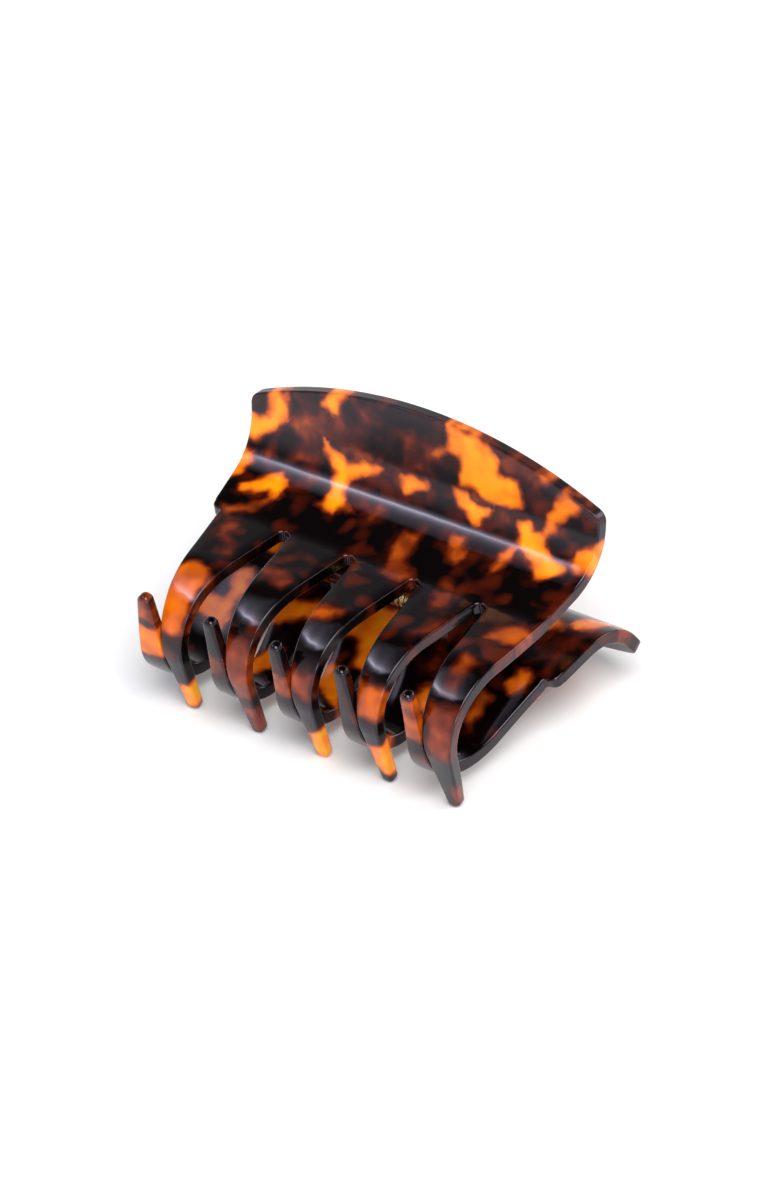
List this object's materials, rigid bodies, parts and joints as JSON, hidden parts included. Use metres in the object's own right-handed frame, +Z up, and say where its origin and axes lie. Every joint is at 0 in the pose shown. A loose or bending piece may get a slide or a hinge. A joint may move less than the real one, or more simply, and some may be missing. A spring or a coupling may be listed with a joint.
{
  "type": "hair claw clip",
  "caption": "Large tortoiseshell hair claw clip with curved, toothed jaws and flared handle wings on a sprung hinge pin, lying closed.",
  "frame": {"origin": "bottom centre of the closed clip's box, on the surface it lies on", "axes": "+X along the hinge, +Y from the teeth towards the handles, +Z up, with the clip lying on its upper tooth tips and its lower lip"},
  "size_m": [0.096, 0.075, 0.0621],
  "materials": {
    "tortoiseshell": "tumble-polished cellulose acetate",
    "pin_steel": "nickel-plated steel",
    "spring_steel": "brass-plated spring wire"
  },
  "bodies": {
    "lower_jaw": {"lower_jaw": "tortoiseshell", "lower_lug_left": "tortoiseshell", "lower_lug_right": "tortoiseshell", "hinge_pin": "pin_steel", "torsion_spring": "spring_steel"},
    "upper_jaw": {"upper_jaw": "tortoiseshell", "upper_lug_left": "tortoiseshell", "upper_lug_right": "tortoiseshell"}
  },
  "joints": [
    {"name": "jaw_hinge", "type": "hinge", "parent": "lower_jaw", "child": "upper_jaw", "pos_m": [0, 0.00259, 0.02516], "axis": [-1, 0, 0], "range_deg": [0, 60], "stiffness_Nm_per_rad": 0.19, "springref_deg": -28.65, "deforming": ["torsion_spring"]}
  ]
}
